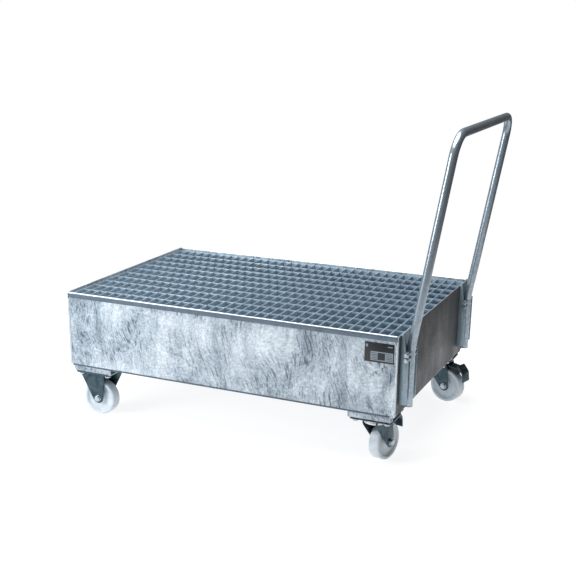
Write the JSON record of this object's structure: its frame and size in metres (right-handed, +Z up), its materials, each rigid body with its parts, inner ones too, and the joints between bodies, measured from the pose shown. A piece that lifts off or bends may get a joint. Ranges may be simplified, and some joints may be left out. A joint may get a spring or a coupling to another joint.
{
  "type": "drum dolly",
  "caption": "Wheeled galvanised spill tray with a lift-out bar grating, fixed and braked swivel castors, and a bolted push handle, for moving drums over a sump.",
  "frame": {"origin": "on the floor under the middle of the whole dolly, handle included", "axes": "+X along the tray towards the push handle, +Y across the tray to the rear side, +Z up"},
  "size_m": [1.3372, 0.804, 1.063],
  "materials": {
    "galvanised_sheet": "hot-dip galvanised sheet, mottled",
    "galvanised_grating": "hot-dip galvanised bars, satin",
    "galvanised_tube": "hot-dip galvanised tube, satin",
    "weld_metal": "galvanised weld bead",
    "label_foil": "printed foil, satin",
    "black_plastic": "moulded polyethylene",
    "blue_zinc_steel": "blue-passivated zinc plate",
    "bright_zinc_steel": "bright zinc plate",
    "white_polyamide": "moulded polyamide, satin",
    "bronze_bush": "sintered bronze",
    "brake_rubber": "moulded rubber",
    "polished_steel": "polished bearing steel"
  },
  "bodies": {
    "tray": {"tray_shell": "galvanised_sheet", "front_wall": "galvanised_sheet", "rear_wall": "galvanised_sheet", "weld_beads": "weld_metal", "ledge_front": "galvanised_sheet", "ledge_rear": "galvanised_sheet", "ledge_left": "galvanised_sheet", "ledge_right": "galvanised_sheet", "foot_front_left": "galvanised_sheet", "foot_rear_left": "galvanised_sheet", "foot_front_right": "galvanised_sheet", "foot_rear_right": "galvanised_sheet", "label_plate": "label_foil", "handle_tube": "galvanised_tube", "tube_end_caps": "black_plastic", "bracket_front": "galvanised_tube", "bracket_rear": "galvanised_tube", "handle_bolts": "bright_zinc_steel", "handle_nuts": "bright_zinc_steel", "handle_spacers": "bright_zinc_steel", "castor_bolts": "bright_zinc_steel", "castor_nuts": "bright_zinc_steel", "castor_washers": "bright_zinc_steel", "fixed_fork_front": "blue_zinc_steel", "fixed_fork_rear": "blue_zinc_steel", "fixed_axle_bolts": "bright_zinc_steel", "fixed_axle_nuts": "bright_zinc_steel", "fixed_axle_sleeves": "bright_zinc_steel", "swivel_plate_front": "blue_zinc_steel", "swivel_plate_rear": "blue_zinc_steel", "race_front": "bright_zinc_steel", "race_rear": "bright_zinc_steel", "race_balls": "polished_steel", "king_pins": "bright_zinc_steel"},
    "grating": {"bearing_bars": "galvanised_grating", "cross_bars": "galvanised_grating", "grating_frame": "galvanised_grating"},
    "front_left_wheel": {"wheel_front_left": "white_polyamide", "bush_front_left": "bronze_bush"},
    "rear_left_wheel": {"wheel_rear_left": "white_polyamide", "bush_rear_left": "bronze_bush"},
    "front_swivel": {"swivel_fork_front": "blue_zinc_steel", "swivel_axle_bolt_front": "bright_zinc_steel", "swivel_axle_nut_front": "bright_zinc_steel", "swivel_axle_sleeve_front": "bright_zinc_steel", "brake_pin_front": "bright_zinc_steel"},
    "rear_swivel": {"swivel_fork_rear": "blue_zinc_steel", "swivel_axle_bolt_rear": "bright_zinc_steel", "swivel_axle_nut_rear": "bright_zinc_steel", "swivel_axle_sleeve_rear": "bright_zinc_steel", "brake_pin_rear": "bright_zinc_steel"},
    "front_brake": {"brake_pedal_front": "blue_zinc_steel", "brake_shoe_front": "brake_rubber"},
    "rear_brake": {"brake_pedal_rear": "blue_zinc_steel", "brake_shoe_rear": "brake_rubber"},
    "front_right_wheel": {"wheel_front_right": "white_polyamide", "bush_front_right": "bronze_bush"},
    "rear_right_wheel": {"wheel_rear_right": "white_polyamide", "bush_rear_right": "bronze_bush"}
  },
  "joints": [
    {"name": "grating_lift", "type": "slide", "parent": "tray", "child": "grating", "axis": [0, 0, 1], "range_m": [0, 0.35]},
    {"name": "front_left_wheel_spin", "type": "hinge", "parent": "tray", "child": "front_left_wheel", "pos_m": [-0.58363, -0.34, 0.0625], "axis": [0, 1, 0], "continuous": true},
    {"name": "rear_left_wheel_spin", "type": "hinge", "parent": "tray", "child": "rear_left_wheel", "pos_m": [-0.58363, 0.34, 0.0625], "axis": [0, 1, 0], "continuous": true},
    {"name": "front_castor_swivel", "type": "hinge", "parent": "tray", "child": "front_swivel", "pos_m": [0.44637, -0.34, 0.155], "axis": [0, 0, 1], "continuous": true},
    {"name": "rear_castor_swivel", "type": "hinge", "parent": "tray", "child": "rear_swivel", "pos_m": [0.44637, 0.34, 0.155], "axis": [0, 0, 1], "continuous": true},
    {"name": "front_right_wheel_spin", "type": "hinge", "parent": "front_swivel", "child": "front_right_wheel", "pos_m": [0.46014, -0.28675, 0.0625], "axis": [-0.9681, 0.2504, 0], "continuous": true},
    {"name": "rear_right_wheel_spin", "type": "hinge", "parent": "rear_swivel", "child": "rear_right_wheel", "pos_m": [0.49924, 0.32484, 0.0625], "axis": [0.2756, 0.9613, 0], "continuous": true},
    {"name": "front_brake_press", "type": "hinge", "parent": "front_swivel", "child": "front_brake", "pos_m": [0.45889, -0.29159, 0.1385], "axis": [-0.9681, 0.2504, 0], "range_deg": [0, 8]},
    {"name": "rear_brake_press", "type": "hinge", "parent": "rear_swivel", "child": "rear_brake", "pos_m": [0.49443, 0.32622, 0.1385], "axis": [0.2756, 0.9613, 0], "range_deg": [0, 8]}
  ]
}
